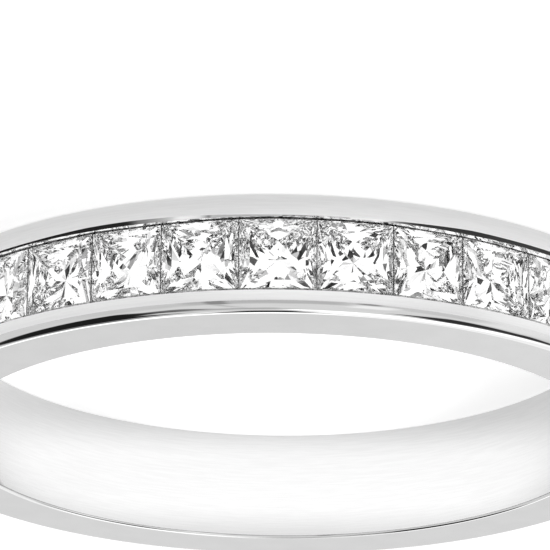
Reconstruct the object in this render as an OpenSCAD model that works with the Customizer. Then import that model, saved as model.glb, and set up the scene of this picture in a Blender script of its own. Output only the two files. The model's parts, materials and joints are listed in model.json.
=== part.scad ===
// A channel set band: a plain polished ring with a row of square princess cut stones held
// edge to edge between two rails. The ring lies on its side. Its bore runs along +Z, one
// side face rests on Z = 0, and the row of stones is centred on -Y.

/* [Ring] */
// Inside diameter of the ring
bore_d = 17; // [15:0.1:22]
// Width of the band along the finger
band_w = 3.05; // [2.9:0.05:4]
// Thickness of the band, from the finger to the top of the rails
wall = 1.75; // [1.75:0.05:2.5]
// Radius of the rounding on the two outer edges
edge_round = 0.29; // [0.1:0.01:0.35]
// Radius of the rounding on the two edges of the bore
bore_round = 0.08; // [0.04:0.01:0.2]

/* [Channel] */
// Width of the channel between the rails' top edges
mouth_w = 1.88; // [1.86:0.01:1.95]
// How far each rail's lip reaches over the edge of the stones
lip_cover = 0.03; // [0.01:0.01:0.05]
// Depth of the lip, from the top of the rail to the groove that holds the girdles
lip_d = 0.34; // [0.3:0.01:0.34]
// Inset of the trough under the seat, from the edge of the stones
seat_w = 0.15; // [0.1:0.01:0.2]
// Metal left under the trough
floor_t = 0.35; // [0.25:0.05:0.45]
// Diameter of the hole under each stone's point
hole_d = 0.7; // [0.6:0.05:0.9]
// Direction of the middle of the row round the ring, in degrees
row_middle = -89.67; // [-95:0.01:-85]

/* [Stones] */
// Size of the stones across the channel
stone_w = 1.9; // [1.88:0.01:1.95]
// Size of each stone along the row, from the -X end, all a little different
stone_sizes = [1.86, 1.84, 1.87, 1.85, 1.86, 1.95, 1.80, 1.86, 1.86, 1.89, 1.81, 1.90, 1.85, 1.86, 1.84, 1.87, 1.85];
// Gap between the girdles of two stones
stone_gap = 0.02; // [0.01:0.01:0.05]
// Space between a stone and the metal round it
seat_gap = 0.02; // [0.02:0.01:0.03]
// Depth of the girdle's upper edge below the top of the rails
girdle_d = 0.43; // [0.43:0.01:0.45]
// Thickness of the girdle
girdle_t = 0.04; // [0.02:0.01:0.05]
// Height of the crown, from the girdle to the table
crown_h = 0.175; // [0.14:0.005:0.18]
// Width of the table as a share of the stone's size
table_share = 0.7; // [0.6:0.01:0.76]
// Unevenness of the hand cutting, from none to full
cut_variation = 1; // [0:0.1:1]

/* [Hidden] */
$fn = 180;
bore_r = bore_d / 2;
outer_r = bore_r + wall;
seat_r = outer_r - girdle_d - girdle_t;
// How far a cut runs past the surface that it opens
cut_past = 1;
// How far down the groove's side the lip's underside meets it, as a share of its overhang
lip_slope = 0.6;
// Height of the points in the middle of the crown's sides, as a share of the crown
crown_break = 0.62;

// Steps of the pavilion from the girdle to the point: where each ends as a share of the
// half width, and its slope in degrees
STEP_END = 0;
STEP_SLOPE = 1;
pavilion_steps = [
    [0.80, 60],
    [0.50, 48],
    [0.25, 41],
    [0.00, 37],
];
step_count = len(pavilion_steps);

// Largest differences in cutting: the table's share, its height, its slope, the place of
// the point and the ends of the pavilion's steps
table_share_vary = 0.02;
table_z_vary = 0.01;
table_slope_vary = 0.012;
point_vary = 0.03;
step_vary = 0.015;

stone_count = len(stone_sizes);
middle_stone = floor(stone_count / 2);
function stone_name(i) = str("stone_", i < 9 ? "0" : "", i + 1);

// Half the angle that a stone takes up round the ring, gap included
function half_angle(i) = atan((stone_sizes[i] + stone_gap) / 2 / seat_r);
// Angle from the middle of the first stone to the middle of stone i
function row_angle(i) = i == 0 ? 0 : row_angle(i - 1) + half_angle(i - 1) + half_angle(i);
function stone_angle(i) = row_middle + row_angle(i) - row_angle(middle_stone);
end_slack = atan(seat_gap / seat_r);
row_start = stone_angle(0) - half_angle(0) - end_slack;
row_end = stone_angle(stone_count - 1) + half_angle(stone_count - 1) + end_slack;

// The band's section: bore on the left, with the outer and the bore edges rounded
module band_section() {
    r_in = bore_r + bore_round;
    r_out = outer_r - edge_round;
    translate([r_in, 0]) square([r_out - r_in, band_w]);
    translate([bore_r, bore_round]) square([r_out - bore_r, band_w - 2 * bore_round]);
    translate([r_in, edge_round]) square([outer_r - r_in, band_w - 2 * edge_round]);
    for (z = [bore_round, band_w - bore_round]) translate([r_in, z]) circle(bore_round);
    for (z = [edge_round, band_w - edge_round]) translate([r_out, z]) circle(edge_round);
}

// The channel's section: mouth, lip, groove for the girdles, sloping seat and trough.
// Each point of a side is [depth below the rails' tops, distance from the band's middle]
module channel_section() {
    lip_half = stone_w / 2 - lip_cover;
    groove_half = stone_w / 2 + seat_gap;
    trough_half = stone_w / 2 - seat_w;
    groove_d = girdle_d + girdle_t + seat_gap;
    seat_d = groove_d + (groove_half - trough_half) * tan(pavilion_steps[0][STEP_SLOPE]);
    mouth_slope = (mouth_w / 2 - lip_half) / lip_d;
    side = [
        [-cut_past, mouth_w / 2 + mouth_slope * cut_past],
        [lip_d, lip_half],
        [lip_d + lip_slope * (groove_half - lip_half), groove_half],
        [groove_d, groove_half],
        [seat_d, trough_half],
        [wall - floor_t, trough_half],
    ];
    last = len(side) - 1;
    translate([outer_r, band_w / 2])
        polygon(concat(
            [for (p = side) [-p[0], p[1]]],
            [for (i = [last : -1 : 0]) [-side[i][0], -side[i][1]]]
        ));
}

module hole_under_stone(i) {
    rotate([0, 0, stone_angle(i)])
        translate([bore_r - cut_past, 0, band_w / 2])
            rotate([0, 90, 0])
                cylinder(d = hole_d, h = cut_past + (wall + floor_t) / 2);
}

module band() {
    color([0.86, 0.86, 0.87])
        difference() {
            rotate_extrude() band_section();
            rotate([0, 0, row_start])
                rotate_extrude(angle = row_end - row_start) channel_section();
            for (i = [0 : stone_count - 1]) hole_under_stone(i);
        }
}

// The small difference number `which` of stone i, between -1 and 1 at full variation
function vary(i, which) = cut_variation * sin(97 * i + 61 * which + 40 * i * which);

// Corner k, and the middle of the side after it, of a rectangle with half sizes `half` at
// height z, counted anticlockwise seen from the table
corner_signs = [[1, 1], [-1, 1], [-1, -1], [1, -1]];
function corner(k, half, z) = [corner_signs[k][0] * half[0], corner_signs[k][1] * half[1], z];
function side_middle(k, half, z) = (corner(k, half, z) + corner((k + 1) % 4, half, z)) / 2;

// Depth below the girdle that the pavilion's steps reach, from the first to `step`
function step_depth(step) =
    let(start = step == 0 ? 1 : pavilion_steps[step - 1][STEP_END],
        run = (start - pavilion_steps[step][STEP_END]) * stone_w / 2,
        drop = run * tan(pavilion_steps[step][STEP_SLOPE]))
    step == 0 ? drop : drop + step_depth(step - 1);

// The middle of side k at the end of a pavilion step, moved a little along its slope
function step_middle(i, step, k, half, girdle_z) =
    let(move = step_vary * vary(i, 7 + step + k),
        rise = move * stone_w / 2 * tan(pavilion_steps[step][STEP_SLOPE]),
        share = pavilion_steps[step][STEP_END] + move)
    side_middle(k, half * share, girdle_z - step_depth(step) + rise);

// A corner of the table, which is level but for a slight slope
function table_corner(k, half, z, slope) =
    let(flat = corner(k, half, z))
    flat + [0, 0, flat[0] * slope[0] + flat[1] * slope[1]];

// A princess cut stone with its table towards +Z and the tops of the rails at Z = 0
module princess(i) {
    half = [stone_sizes[i], stone_w] / 2;
    table_half = half * (table_share + table_share_vary * vary(i, 1));
    table_z = crown_h - girdle_d + table_z_vary * vary(i, 2);
    table_slope = table_slope_vary * [vary(i, 3), vary(i, 4)];
    crown_half = (half + table_half) / 2;
    crown_z = crown_break * crown_h - girdle_d;
    girdle_z = -girdle_d - girdle_t;
    point = [point_vary * vary(i, 5), point_vary * vary(i, 6), girdle_z - step_depth(step_count - 1)];

    points = concat(
        [for (k = [0 : 3]) corner(k, half, -girdle_d)],
        [for (k = [0 : 3]) corner(k, half, girdle_z)],
        [for (k = [0 : 3]) table_corner(k, table_half, table_z, table_slope)],
        [for (k = [0 : 3]) side_middle(k, crown_half, crown_z)],
        [for (step = [0 : step_count - 2], k = [0 : 3]) step_middle(i, step, k, half, girdle_z)],
        [point]
    );
    // Where each ring of points starts in the list
    top = 0;
    base = 4;
    table = 8;
    crown = 12;
    first = 16;
    last = first + 4 * (step_count - 2);
    tip = last + 4;

    polyhedron(points, concat(
        [[table + 3, table + 2, table + 1, table]],
        [for (k = [0 : 3], n = (k + 1) % 4) each [
            [crown + k, table + k, table + n],
            [top + n, top + k, crown + k],
            [crown + k, top + k, table + k],
            [top + n, crown + k, table + n],
            [top + k, top + n, base + n, base + k],
            [base + k, base + n, first + k],
            [base + k, last + k, tip],
            [base + n, tip, last + k],
        ]],
        [for (upper = [first : 4 : last - 4], k = [0 : 3], n = (k + 1) % 4) each [
            [base + k, upper + k, upper + 4 + k],
            [base + n, upper + 4 + k, upper + k],
        ]]
    ));
}

module stone(i) {
    color([0.8, 0.88, 0.92, 0.7])
        rotate([0, 0, stone_angle(i)])
            translate([outer_r, 0, band_w / 2])
                rotate([0, 90, 0])
                    rotate([0, 0, 90])
                        princess(i);
}

band();
for (i = [0 : stone_count - 1])
    stone(i);
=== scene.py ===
"""A polished channel set ring lying on its side, with square cut stones in half of its round.

The model's frame has the ring's bore along +Z, its side face on the floor at Z = 0 and the
row of stones centred on -Y. Lengths are in millimetres unless a comment says otherwise.
"""

import json
import math
from collections import namedtuple

import bpy
import numpy as np
from mathutils import Matrix, Vector


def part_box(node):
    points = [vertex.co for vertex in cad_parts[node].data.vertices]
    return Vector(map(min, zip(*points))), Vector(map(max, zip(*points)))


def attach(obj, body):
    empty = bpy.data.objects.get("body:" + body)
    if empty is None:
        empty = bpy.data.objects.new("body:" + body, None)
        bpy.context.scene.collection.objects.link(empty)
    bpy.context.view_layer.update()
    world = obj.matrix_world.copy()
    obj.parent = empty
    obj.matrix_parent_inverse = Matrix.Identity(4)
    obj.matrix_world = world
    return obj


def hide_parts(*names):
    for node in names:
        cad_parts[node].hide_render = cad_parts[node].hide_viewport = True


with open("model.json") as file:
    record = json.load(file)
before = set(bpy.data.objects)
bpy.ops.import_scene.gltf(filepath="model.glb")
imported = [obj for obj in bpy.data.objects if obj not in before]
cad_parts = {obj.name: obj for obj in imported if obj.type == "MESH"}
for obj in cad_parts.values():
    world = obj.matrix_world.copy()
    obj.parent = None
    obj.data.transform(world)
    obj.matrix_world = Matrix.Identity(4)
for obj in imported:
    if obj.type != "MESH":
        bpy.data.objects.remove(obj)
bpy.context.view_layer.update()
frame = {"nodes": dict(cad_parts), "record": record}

MM = 0.001
FULL_TURN = 2 * math.pi

# Sizes from the frame: the band, its bore and the stones' width across the channel
OUTER_R, _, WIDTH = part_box("band")[1] / MM
MIDDLE = WIDTH / 2
BORE_R = next(m for m in frame["record"]["mounts"] if m["name"] == "finger_bore")["dims"]["r_mm"]
STONE_LOW, STONE_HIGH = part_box("stone_01")
STONE_W = round((STONE_HIGH.z - STONE_LOW.z) / MM, 3)

# Rounding of the band's edges, and the metal left under the channel with a hole for each stone
BORE_ROUND = 0.08
EDGE_ROUND = 0.29
FLOOR_T = 0.35
FLOOR_R = BORE_R + FLOOR_T
HOLE_R = 0.35

# Channel: half widths from its middle, and depths (names in _D) from the top of the rails.
# The mouth lies a little to one side of the row
MOUTH_HALF = STONE_W / 2 + 0.03
MOUTH_OFFSET = 0.04
CUT_HALF = STONE_W / 2 - 0.038
BRIGHT_SLOPE = 0.22
LIP_HALF = STONE_W / 2 - 0.07
SEAM_D = 0.085
GROOVE_HALF = STONE_W / 2 + 0.02
GROOVE_TOP_D = 0.37
GROOVE_BASE_D = 0.49
TROUGH_HALF = STONE_W / 2 - 0.15
TROUGH_TOP_D = 0.784
CUT_ROUND = 0.01
INNER_ROUND = 0.015
END_GAP = 0.02

# Ribs between the stones, painted near black as the shade in the gaps between them
RIB_T = 0.016
RIB_TOP_D = 0.38
RIB_BASE_D = 0.55
RIB_GRIP = 0.02

# The rims of the channel are cut by hand along the tops of the rails: a slanting cut, under
# it a steeper bright edge, and then a seam. The cut and the edge carry a painted highlight,
# brighter than the plain metal and weaker near the middle of the row, and the seam is
# painted dark as a painted shadow gap. This is how the lower rail's rim changes
Rim = namedtuple("Rim", "reach cut_d bright_d tone")
RIM = (
    # angle in degrees, reach of the rail's flat from its mean, depth of the cut, of the edge,
    #     # tone of the painted highlight
    (-136, 0.000, 0.080, 0.20, 0.95),
    (-128, -0.004, 0.085, 0.22, 0.95),
    (-123, -0.008, 0.082, 0.22, 0.95),
    (-117, -0.022, 0.090, 0.19, 0.95),
    (-111, 0.010, 0.058, 0.17, 0.95),
    (-105, 0.034, 0.038, 0.10, 0.90),
    (-99, 0.048, 0.030, 0.08, 0.85),
    (-95, 0.045, 0.050, 0.08, 0.75),
    (-88, 0.042, 0.030, 0.05, 0.70),
    (-82, 0.024, 0.060, 0.09, 0.75),
    (-77, 0.000, 0.055, 0.13, 0.85),
    (-69, -0.014, 0.080, 0.16, 0.95),
    (-63, -0.011, 0.078, 0.12, 0.95),
    (-58, 0.012, 0.060, 0.14, 0.95),
    (-53, 0.030, 0.050, 0.13, 0.95),
    (-46, 0.030, 0.060, 0.13, 0.95),
)
# The other rail's rim: its cut is painted darker than the plain metal, as painted shade by the
# stones
PLAIN_RIM = Rim(reach=0.0, cut_d=0.06, bright_d=0.11, tone=0.40)

# Brightness of the metal, kept in an attribute of its meshes. Beside the metal's own tone it
# # holds painted light: a painted highlight on the rims, painted shadow in the seam and
# # painted shade on the ribs
TONE = "tone"
PLAIN_TONE = 0.66
# painted highlight: the rails' edges at the channel are painted a little brighter than the plain
# metal
RIM_EDGE_PAINTED_HIGHLIGHT = 0.71
# painted shadow: the seam under the bright edge is painted near black as a shadow gap
SEAM_PAINTED_SHADOW = 0.05
RECESS_TONE = 0.92
# painted shade: the ribs are near black to stand for the shade between the stones
RIB_PAINTED_SHADE = 0.05

# Points in the arc at each corner of the band's outline, and its steps round the ring
EDGE_POINTS = 13
CUT_POINTS = 5
INNER_POINTS = 4
PLAIN_STEP_DEG = 0.5
STEPS_BESIDE_HOLE = 6
STEPS_ACROSS_HOLE = 12

# Rows are the points of the outline, counted from the bore's lower edge. The mouth is the
# stretch of rows that only the channel has, and the floor's and the bore's are the rows
# before their straight sides
ROWS = 4 * EDGE_POINTS + 6 * CUT_POINTS + 10 * INNER_POINTS
MOUTH_START = 2 * EDGE_POINTS
MOUTH_END = ROWS - 1 - MOUTH_START
FLOOR_ROW = MOUTH_START + 3 * CUT_POINTS + 5 * INNER_POINTS - 1
BORE_ROW = ROWS - 1

# Camera, as the photo has it: the lens looks down at the stones from a little above the
# side face, and the picture is turned half round because the ring lies on its side
CAMERA_TARGET = Vector((0, -9.5, 1.525))
CAMERA_DISTANCE = 100.0
CAMERA_ELEVATION = 20.673
CAMERA_ROLL = 180.545
PHOTO_SIDE_PX = 550
PX_PER_MM_AT_TARGET = 41.457
TARGET_PX = (280.07, 260.55)
SENSOR = 36.0
NEAREST_M = 0.001
FARTHEST_M = 5.0

# The floor glows a little, so that it stays white beside the ring, and more in a few painted pools
# of light
FLOOR_SIDE_M = 12.0
FLOOR_BELOW = 0.01
FLOOR_GLOW = 0.38
PAINTED_LIGHT_POOLS = (
    # x, y, radius of the full change, radius where it ends, change
    (0, 0, 12, 16, 0.01),
    (-3, -19, 3, 10, 0.12),
    (0, 4, 2, 6, 0.44),
    (-15, -10, 2, 7, 0.14),
)

# The studio as seen from the ring, in soft edged patches over a plain brightness. Angles are
# in degrees; azimuth 0 is away from the camera in STUDIO and towards it in BEHIND_CAMERA
STUDIO_BASE = 1.0
STUDIO = (
    # azimuth from, to, elevation from, to, softness across, up, brightness
    (-100, 150, -30, 40, 20, 10, 0.92),
    (-170, -95, -30, 36, 20, 10, 1.15),
    (-64, 12, 23, 90, 8, 3, 2.0),
    (-64, -2, 22, 50, 3, 10, 1.30),
    (-14, 60, 62, 90, 20, 12, 1.0),
    (-121, -73, 44, 68, 8, 6, 0.04),
    (-74, -60, 40, 68, 6, 6, 0.25),
    (-92, -67, 40, 56, 6, 5, 0.05),
    (26, 124, 44, 71, 6, 5, 0.018),
    (98, 128, 66, 77, 6, 4, 0.08),
    (118, 140, 56, 74, 8, 5, 0.25),
    (12, 28, 42, 58, 8, 8, 0.30),
    (-4, 8, 46, 71, 4, 4, 0.0),
    (-4, 12, 66, 76, 6, 5, 0.45),
    (70, 180, 74, 90, 20, 5, 0.62),
)
BEHIND_CAMERA = (
    (-61, 60, 0, 33, 12, 14, 0.84),
    (-18, 27, -6, 30, 6, 10, 0.70),
    (-35, -22, 18, 45, 6, 8, 1.3),
    (-28, -22, -2, 14, 4, 6, 0.4),
    (15, 21, -6, 32, 3, 6, 0.38),
    (18, 21, 30, 72, 3, 4, 0.70),
    (-20, 20, 79, 88, 20, 6, 0.65),
)

# The lamps and the dark gaps between them that only the light through the stones shows
GLINT_SCALE = 7.0
GLINT_DARK = 0.37
GLINT_BRIGHT = 0.50
GLINT_LIGHT = 1.26


class Graph:
    """Short ways to add shader nodes to one tree."""

    def __init__(self, tree):
        self.tree = tree
        tree.nodes.clear()

    def node(self, kind, settings=(), **inputs):
        node = self.tree.nodes.new(kind)
        for name, value in dict(settings).items():
            setattr(node, name, value)
        for name, value in inputs.items():
            self.set(node.inputs[name.replace("_", " ")], value)
        return node

    def set(self, socket, value):
        if isinstance(value, bpy.types.NodeSocket):
            self.tree.links.new(value, socket)
        else:
            socket.default_value = value

    def operate(self, node, values):
        for socket, value in zip(node.inputs, values):
            self.set(socket, value)
        return node

    def math(self, operation, *values):
        node = self.node("ShaderNodeMath", {"operation": operation})
        return self.operate(node, values).outputs[0]

    def vector_math(self, operation, *values):
        node = self.node("ShaderNodeVectorMath", {"operation": operation})
        return self.operate(node, values)

    def smooth(self, value, start, end, low=0.0, high=1.0):
        """A smooth step from low to high as the value goes from start to end."""
        node = self.node("ShaderNodeMapRange", {"interpolation_type": "SMOOTHSTEP"})
        return self.operate(node, (value, start, end, low, high)).outputs[0]

    def between(self, value, start, end, soft):
        """1 where the value lies between start and end, and 0 elsewhere, with soft edges."""
        rise = self.smooth(value, start - soft / 2, start + soft / 2)
        fall = self.smooth(value, end - soft / 2, end + soft / 2, 1.0, 0.0)
        return self.math("MULTIPLY", rise, fall)

    def noise(self, vector, scale, detail=2.0, roughness=0.5):
        node = self.node(
            "ShaderNodeTexNoise", Vector=vector, Scale=scale, Detail=detail, Roughness=roughness
        )
        return node.outputs["Fac"]

    def grey(self, tone):
        return self.node("ShaderNodeCombineColor", Red=tone, Green=tone, Blue=tone).outputs[0]

    def degrees(self, radians):
        return self.math("MULTIPLY", radians, math.degrees(1.0))


def new_material(name):
    material = bpy.data.materials.new(name)
    material.use_nodes = True
    return material, Graph(material.node_tree)


def metal_material():
    """Bright white metal: a soft polish, faintly wavy, with rubbing marks round the ring."""
    material, g = new_material("polished_metal")
    place = g.node("ShaderNodeTexCoord").outputs["Object"]
    wave = g.noise(place, scale=260.0, detail=1.0)
    marks = g.noise(place, scale=9000.0, detail=3.0)
    height = g.math("ADD", wave, g.math("MULTIPLY", marks, 0.015))
    bump = g.node("ShaderNodeBump", Strength=0.10, Distance=0.00004, Height=height)
    patches = g.noise(place, scale=900.0, detail=3.0)
    roughness = g.smooth(patches, 0.3, 0.75, low=0.035, high=0.075)
    along_ring = g.vector_math("MULTIPLY", place, (0.05, 0.05, 1.0)).outputs["Vector"]
    streaks = g.noise(along_ring, scale=24000.0)
    # the tone attribute holds painted highlights on the rims and painted shade in the seam and on
    # the ribs
    tone = g.node("ShaderNodeAttribute", {"attribute_name": TONE}).outputs["Fac"]
    tone = g.math("MULTIPLY", tone, g.smooth(streaks, 0.3, 0.7, low=0.98, high=1.015))
    shader = g.node(
        "ShaderNodeBsdfPrincipled",
        Base_Color=g.grey(tone),
        Metallic=1.0,
        Roughness=roughness,
        Normal=bump.outputs[0],
    )
    g.node("ShaderNodeOutputMaterial", Surface=shader.outputs[0])
    return material


def stone_material():
    """Colourless cut stone with faint clouds inside."""
    material, g = new_material("colourless_stone")
    place = g.node("ShaderNodeTexCoord").outputs["Object"]
    clouds = g.noise(place, scale=2600.0, detail=4.0, roughness=0.7)
    shader = g.node(
        "ShaderNodeBsdfPrincipled",
        Base_Color=(1.0, 1.0, 1.0, 1.0),
        Roughness=g.smooth(clouds, 0.62, 0.80, low=0.0, high=0.04),
        IOR=2.42,
        Transmission_Weight=1.0,
        Specular_Tint=(0.15, 0.15, 0.15, 1.0),
    )
    g.node("ShaderNodeOutputMaterial", Surface=shader.outputs[0])
    return material


def floor_material():
    """Pale matt paper that glows a little, and a little more in a few painted pools of light."""
    material, g = new_material("pale_floor")
    place = g.node("ShaderNodeTexCoord").outputs["Object"]
    paper = g.noise(place, scale=60.0)
    glow = FLOOR_GLOW
    for x, y, inner, outer, change in PAINTED_LIGHT_POOLS:
        centre = (x * MM, y * MM, 0.0)
        distance = g.vector_math("DISTANCE", place, centre).outputs["Value"]
        pool = g.smooth(distance, inner * MM, outer * MM, low=change, high=0.0)
        glow = g.math("ADD", glow, pool)
    shader = g.node(
        "ShaderNodeBsdfPrincipled",
        Base_Color=g.grey(g.smooth(paper, 0.2, 0.8, low=0.86, high=0.88)),
        Roughness=0.9,
        Specular_IOR_Level=0.0,
        Emission_Color=(1.0, 1.0, 1.0, 1.0),
        Emission_Strength=glow,
    )
    g.node("ShaderNodeOutputMaterial", Surface=shader.outputs[0])
    return material


def link_mesh(mesh):
    """An object of the mesh's name, in the scene."""
    piece = bpy.data.objects.new(mesh.name, mesh)
    bpy.context.collection.objects.link(piece)
    return piece


def set_tones(mesh, tones):
    mesh.attributes.new(TONE, "FLOAT", "POINT").data.foreach_set("value", tones)


class Shell:
    """The vertices and faces of a smooth surface, each with its own normals."""

    def __init__(self):
        self.vertices = []
        self.vertex_normals = []
        self.tones = []
        self.faces = []
        self.face_normals = []

    def vertex(self, r, z, angle, normal, tone):
        """Add a vertex at radius r and height z. Its normal is given as (outward, upward)."""
        c, s = math.cos(angle), math.sin(angle)
        self.vertices.append((r * c, r * s, z))
        self.vertex_normals.append((normal[0] * c, normal[0] * s, normal[1]))
        self.tones.append(tone)
        return len(self.vertices) - 1

    def face(self, corners, normals=None):
        self.faces.append([int(corner) for corner in corners])
        self.face_normals.extend(normals or [self.vertex_normals[corner] for corner in corners])

    def build(self, name):
        mesh = bpy.data.meshes.new(name)
        vertices = [tuple(c * MM for c in vertex) for vertex in self.vertices]
        mesh.from_pydata(vertices, [], self.faces)
        mesh.shade_smooth()
        mesh.normals_split_custom_set(self.face_normals)
        set_tones(mesh, self.tones)
        return link_mesh(mesh)


def fillet_path(corners):
    """Points and outward normals along a closed outline of (r, z, radius, points) corners.

    The outline runs with the metal on its left. Each corner becomes an arc, so the normals
    turn smoothly from one straight side to the next.
    """
    points, normals = [], []
    for i, (r, z, radius, count) in enumerate(corners):
        here = np.array((r, z))
        before = here - np.array(corners[i - 1][:2])
        after = np.array(corners[(i + 1) % len(corners)][:2]) - here
        before /= np.linalg.norm(before)
        after /= np.linalg.norm(after)
        turn = math.atan2(before[0] * after[1] - before[1] * after[0], before @ after)
        side = math.copysign(1.0, turn)
        start = here - before * radius * math.tan(abs(turn) / 2)
        first_normal = np.array((before[1], -before[0]))
        centre = start - side * radius * first_normal
        for k in range(count):
            part = turn * k / (count - 1)
            c, s = math.cos(part), math.sin(part)
            normal = np.array(((c, -s), (s, c))) @ first_normal
            points.append(centre + side * radius * normal)
            normals.append(normal)
    return points, normals


def rim_at(angle):
    """The lower rail's rim at an angle round the ring."""
    stations, *columns = zip(*RIM)
    return Rim(*(float(np.interp(math.degrees(angle), stations, column)) for column in columns))


def channel_corners(side, rim):
    """Corners of one side of the channel, from the rail's hand cut rim to the trough."""
    bright_half = CUT_HALF - (rim.bright_d - rim.cut_d) * BRIGHT_SLOPE
    shift = side * MOUTH_OFFSET
    rows = (
        (0.0, MOUTH_HALF - rim.reach + shift, CUT_ROUND, CUT_POINTS),
        (rim.cut_d, CUT_HALF + shift, CUT_ROUND, CUT_POINTS),
        (rim.bright_d, bright_half + shift, CUT_ROUND, CUT_POINTS),
        (rim.bright_d + SEAM_D, LIP_HALF + shift, INNER_ROUND, INNER_POINTS),
        (GROOVE_TOP_D, GROOVE_HALF, INNER_ROUND, INNER_POINTS),
        (GROOVE_BASE_D, GROOVE_HALF, INNER_ROUND, INNER_POINTS),
        (TROUGH_TOP_D, TROUGH_HALF, INNER_ROUND, INNER_POINTS),
    )
    return [(OUTER_R - depth, MIDDLE + side * half, *rest) for depth, half, *rest in rows]


def section(angle):
    """Points and normals of the band's outline at an angle, with the channel in it."""
    return fillet_path([
        (BORE_R, 0.0, BORE_ROUND, EDGE_POINTS),
        (OUTER_R, 0.0, EDGE_ROUND, EDGE_POINTS),
        *channel_corners(-1, rim_at(angle)),
        (FLOOR_R, MIDDLE - TROUGH_HALF, INNER_ROUND, INNER_POINTS),
        (FLOOR_R, MIDDLE + TROUGH_HALF, INNER_ROUND, INNER_POINTS),
        *reversed(channel_corners(1, PLAIN_RIM)),
        (OUTER_R, WIDTH, EDGE_ROUND, EDGE_POINTS),
        (BORE_R, WIDTH, BORE_ROUND, EDGE_POINTS),
    ])


def section_tones(angle):
    """Tones of the outline's points: a painted highlight on the lower rail's rim, painted shade
    on the other rail's rim and a painted shadow in the seam. The seam starts in the arc at
    the bright edge's end.
    """
    seam_points = 2
    rim_points = 3 * CUT_POINTS - 1
    runs = (
        # how many points, tone
        (2 * EDGE_POINTS, PLAIN_TONE),
        (1, RIM_EDGE_PAINTED_HIGHLIGHT),
        (rim_points - seam_points, rim_at(angle).tone),
        (seam_points + INNER_POINTS, SEAM_PAINTED_SHADOW),
        (8 * INNER_POINTS, RECESS_TONE),
        (INNER_POINTS, PLAIN_TONE),
        (rim_points, PLAIN_RIM.tone),
        (1, RIM_EDGE_PAINTED_HIGHLIGHT),
        (2 * EDGE_POINTS, PLAIN_TONE),
    )
    return [tone for count, tone in runs for _ in range(count)]


def stone_borders(stone_nodes):
    """Angles of the row's start, of the gaps between the stones and of the row's end."""
    spans = []
    for node in stone_nodes:
        x, y, _ = np.array([vertex.co for vertex in node.data.vertices]).T
        angles = np.arctan2(x, -y) - math.pi / 2
        spans.append((angles.min(), angles.max()))
    starts, ends = np.array(sorted(spans)).T
    gaps = (starts[1:] + ends[:-1]) / 2
    end_angle = END_GAP / OUTER_R
    return np.concatenate([[starts[0] - end_angle], gaps, [ends[-1] + end_angle]])


def band_columns(borders):
    """Angles of the outline's steps round the ring, from the row's start.

    The steps are fine across the hole under each stone. Also gives each hole as (angle,
    first column, last column), and the channel's last column.
    """
    half_hole = math.asin(HOLE_R / BORE_R)
    columns, holes = [borders[0]], []
    for start, end in zip(borders, borders[1:]):
        centre = (start + end) / 2
        columns.extend(np.linspace(start, centre - half_hole, STEPS_BESIDE_HOLE + 1)[1:])
        first = len(columns) - 1
        turns = np.linspace(0, math.pi, STEPS_ACROSS_HOLE + 1)[1:]
        columns.extend(centre - half_hole * np.cos(turns))
        holes.append((centre, first, len(columns) - 1))
        columns.extend(np.linspace(centre + half_hole, end, STEPS_BESIDE_HOLE + 1)[1:])
    last_channel = len(columns) - 1
    plain_end = borders[0] + FULL_TURN
    plain_steps = round(math.degrees(plain_end - borders[-1]) / PLAIN_STEP_DEG)
    columns.extend(np.linspace(borders[-1], plain_end, plain_steps + 1)[1:-1])
    return columns, holes, last_channel


def add_outlines(shell, columns, last_channel):
    """The outline at each column. Gives the vertex of each column and row, or -1 for none."""
    index = np.full((len(columns), ROWS), -1)
    for j, angle in enumerate(columns):
        plain = j > last_channel
        outline = zip(*section(angle), section_tones(angle))
        for i, ((r, z), normal, tone) in enumerate(outline):
            if plain and MOUTH_START < i < MOUTH_END:
                continue
            index[j, i] = shell.vertex(r, z, angle, normal, PLAIN_TONE if plain else tone)
    return index


def add_hole_rings(shell, columns, holes):
    """Edges of the round holes, in the bore and in the channel's floor.

    Gives for each row and column the vertices on the two sides of the hole, in the order in
    which the outline meets them. At a hole's first and last column they are the same one.
    """
    rings = {}
    for centre, first, last in holes:
        for row, r, outward, tone in (
            (BORE_ROW, BORE_R, -1.0, PLAIN_TONE),
            (FLOOR_ROW, FLOOR_R, 1.0, RECESS_TONE),
        ):
            for j in range(first, last + 1):
                offset = BORE_R * math.sin(columns[j] - centre)
                rise = math.sqrt(max(HOLE_R**2 - offset**2, 0.0)) * r / BORE_R
                upper = shell.vertex(r, MIDDLE + rise, columns[j], (outward, 0.0), tone)
                if j in (first, last):
                    lower = upper
                else:
                    lower = shell.vertex(r, MIDDLE - rise, columns[j], (outward, 0.0), tone)
                rings[row, j] = (upper, lower) if row == BORE_ROW else (lower, upper)
    return rings


def add_surface(shell, index, rings, holes, last_channel):
    """Faces between the columns, left open at the holes."""
    channel_path = list(range(ROWS))
    plain_path = channel_path[:MOUTH_START + 1] + channel_path[MOUTH_END:]
    hole_steps = {j for _, first, last in holes for j in range(first, last)}
    for j in range(len(index)):
        n = (j + 1) % len(index)
        path = channel_path if j < last_channel else plain_path
        for i, k in zip(path, path[1:] + path[:1]):
            corners = [index[j, i], index[n, i], index[n, k], index[j, k]]
            if j in hole_steps and i in (BORE_ROW, FLOOR_ROW):
                near, far = rings[i, j], rings[i, n]
                shell.face([*corners[:2], far[0], near[0]])
                shell.face([near[1], far[1], *corners[2:]])
                continue
            if j < last_channel and (i, n) in rings:
                corners.insert(2, rings[i, n][0])
            if j < last_channel and (i, j) in rings:
                corners.append(rings[i, j][0])
            shell.face(corners)


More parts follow.
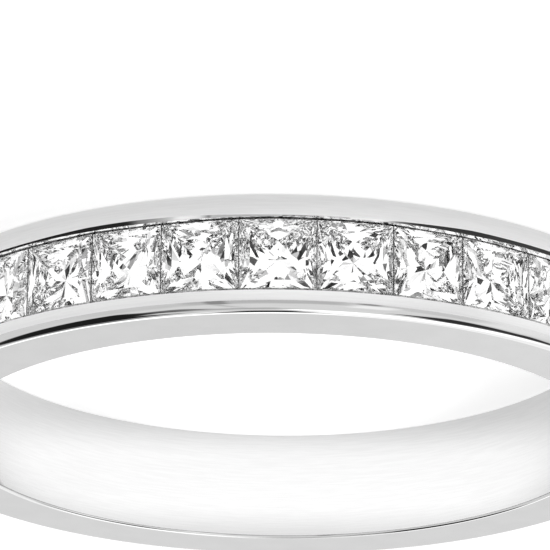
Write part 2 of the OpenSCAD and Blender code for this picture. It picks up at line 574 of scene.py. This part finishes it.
def add_hole_walls(shell, rings, holes):
    """Walls of the holes, from the bore to the channel's floor."""
    for centre, first, last in holes:
        hub = np.array((math.cos(centre), math.sin(centre), 0.0))
        for half in (0, 1):
            for j in range(first, last):
                corners = [
                    rings[BORE_ROW, j][half],
                    rings[BORE_ROW, j + 1][half],
                    rings[FLOOR_ROW, j + 1][1 - half],
                    rings[FLOOR_ROW, j][1 - half],
                ]
                if half == 1:
                    corners.reverse()
                normals = []
                for corner in corners:
                    spot = np.array(shell.vertices[corner]) - (0, 0, MIDDLE)
                    inward = hub * (spot @ hub) - spot
                    normals.append(tuple(inward / np.linalg.norm(inward)))
                shell.face(corners, normals)


def add_end_walls(shell, index, columns, last_channel):
    """Flat walls at the two ends of the channel."""
    for j, side in ((0, 1), (last_channel, -1)):
        angle = columns[j]
        normal = (-side * math.sin(angle), side * math.cos(angle), 0.0)
        corners = index[j, MOUTH_START:MOUTH_END + 1][::side]
        shell.face(corners, [normal] * len(corners))


def make_band(borders):
    """The metal ring, with the channel along the stones and a hole under each of them."""
    shell = Shell()
    columns, holes, last_channel = band_columns(borders)
    index = add_outlines(shell, columns, last_channel)
    rings = add_hole_rings(shell, columns, holes)
    add_surface(shell, index, rings, holes, last_channel)
    add_hole_walls(shell, rings, holes)
    add_end_walls(shell, index, columns, last_channel)
    return shell.build("band_metal")


def make_ribs(borders):
    """Thin ribs across the channel, between the girdles of each two stones, painted near black
    as painted shade in the gaps.
    """
    seat_slope = (GROOVE_HALF - TROUGH_HALF) / (TROUGH_TOP_D - GROOVE_BASE_D)
    top_half = GROOVE_HALF + RIB_GRIP
    base_half = top_half - (RIB_BASE_D - GROOVE_BASE_D) * seat_slope
    side = ((RIB_BASE_D, base_half), (GROOVE_BASE_D, top_half), (RIB_TOP_D, top_half))
    outline = [(OUTER_R - depth, MIDDLE - half) for depth, half in side]
    outline += [(OUTER_R - depth, MIDDLE + half) for depth, half in reversed(side)]
    count = len(outline)
    vertices, faces = [], []
    for angle in borders[1:-1]:
        radial = np.array((math.cos(angle), math.sin(angle), 0.0))
        across = np.array((-math.sin(angle), math.cos(angle), 0.0)) * RIB_T / 2
        front = range(len(vertices), len(vertices) + count)
        back = range(front.stop, front.stop + count)
        for shift in (-across, across):
            vertices.extend(tuple((radial * r + shift + (0.0, 0.0, z)) * MM) for r, z in outline)
        faces.append(list(front))
        faces.append(list(reversed(back)))
        faces.extend([front[k - 1], back[k - 1], back[k], front[k]] for k in range(count))
    mesh = bpy.data.meshes.new("seat_ribs")
    mesh.from_pydata(vertices, [], faces)
    set_tones(mesh, [RIB_PAINTED_SHADE] * len(vertices))
    return link_mesh(mesh)


def make_camera():
    elevation = math.radians(CAMERA_ELEVATION)
    back = Vector((0, -math.cos(elevation), math.sin(elevation)))
    turn = Matrix.Rotation(math.radians(CAMERA_ROLL), 3, back)
    right = turn @ Vector((1, 0, 0))
    up = turn @ back.cross(Vector((1, 0, 0)))
    centre_px = PHOTO_SIDE_PX / 2
    aim = (
        CAMERA_TARGET
        + right * (centre_px - TARGET_PX[0]) / PX_PER_MM_AT_TARGET
        - up * (centre_px - TARGET_PX[1]) / PX_PER_MM_AT_TARGET
    )
    place = CAMERA_TARGET + back * CAMERA_DISTANCE
    towards = (place - aim).normalized()
    right = up.cross(towards).normalized()
    up = towards.cross(right)
    data = bpy.data.cameras.new("camera")
    data.sensor_width = SENSOR
    data.lens = PX_PER_MM_AT_TARGET * CAMERA_DISTANCE * SENSOR / PHOTO_SIDE_PX
    data.clip_start = NEAREST_M
    data.clip_end = FARTHEST_M
    camera = bpy.data.objects.new("camera", data)
    axes = Matrix((right, up, towards)).transposed().to_4x4()
    camera.matrix_world = Matrix.Translation(place * MM) @ axes
    bpy.context.collection.objects.link(camera)
    bpy.context.scene.camera = camera


def make_world():
    """The studio's light, and the lamps that only the light through the stones shows."""
    world = bpy.data.worlds.new("studio")
    world.use_nodes = True
    bpy.context.scene.world = world
    g = Graph(world.node_tree)
    direction = g.node("ShaderNodeTexCoord").outputs["Generated"]
    x, y, z = g.node("ShaderNodeSeparateXYZ", Vector=direction).outputs
    elevation = g.degrees(g.math("ARCSINE", z))
    far = g.degrees(g.math("ARCTAN2", x, y))
    near = g.degrees(g.math("ARCTAN2", x, g.math("MULTIPLY", y, -1.0)))
    light = STUDIO_BASE
    for azimuth, patches in ((far, STUDIO), (near, BEHIND_CAMERA)):
        for start, end, low, high, across, up, brightness in patches:
            sideways = g.between(azimuth, start, end, across)
            mask = g.math("MULTIPLY", sideways, g.between(elevation, low, high, up))
            change = g.math("SUBTRACT", brightness, light)
            light = g.math("MULTIPLY_ADD", mask, change, light)
    glints = g.noise(direction, GLINT_SCALE, detail=1.0)
    sparkle = g.smooth(glints, GLINT_DARK, GLINT_BRIGHT, low=0.0, high=GLINT_LIGHT)
    through = g.node("ShaderNodeLightPath").outputs["Is Transmission Ray"]
    light = g.math("MULTIPLY_ADD", through, g.math("SUBTRACT", sparkle, light), light)
    background = g.node("ShaderNodeBackground", Color=(1.0, 1.0, 1.0, 1.0), Strength=light)
    g.node("ShaderNodeOutputWorld", Surface=background.outputs[0])


def make_floor():
    half = FLOOR_SIDE_M / 2
    corners = ((-half, -half), (half, -half), (half, half), (-half, half))
    mesh = bpy.data.meshes.new("floor")
    mesh.from_pydata([(x, y, -FLOOR_BELOW * MM) for x, y in corners], [], [(0, 1, 2, 3)])
    floor = link_mesh(mesh)
    floor.data.materials.append(floor_material())


def set_up_render():
    scene = bpy.context.scene
    scene.view_settings.view_transform = "Standard"
    scene.view_settings.look = "None"
    cycles = scene.cycles
    cycles.use_denoising = True
    cycles.use_adaptive_sampling = False
    cycles.max_bounces = 40
    cycles.glossy_bounces = 24
    cycles.transmission_bounces = 40
    cycles.diffuse_bounces = 4
    cycles.blur_glossy = 0.0
    cycles.sample_clamp_indirect = 8.0


make_camera()
make_world()
make_floor()
set_up_render()

stones = [frame["nodes"][name] for name in sorted(frame["nodes"]) if name.startswith("stone_")]
clear = stone_material()
for stone in stones:
    for slot in stone.material_slots:
        slot.material = clear

borders = stone_borders(stones)
band = make_band(borders)
ribs = make_ribs(borders)
metal = metal_material()
for piece in (band, ribs):
    piece.data.materials.append(metal)
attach(ribs, "root")
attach(band, "root")
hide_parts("band")
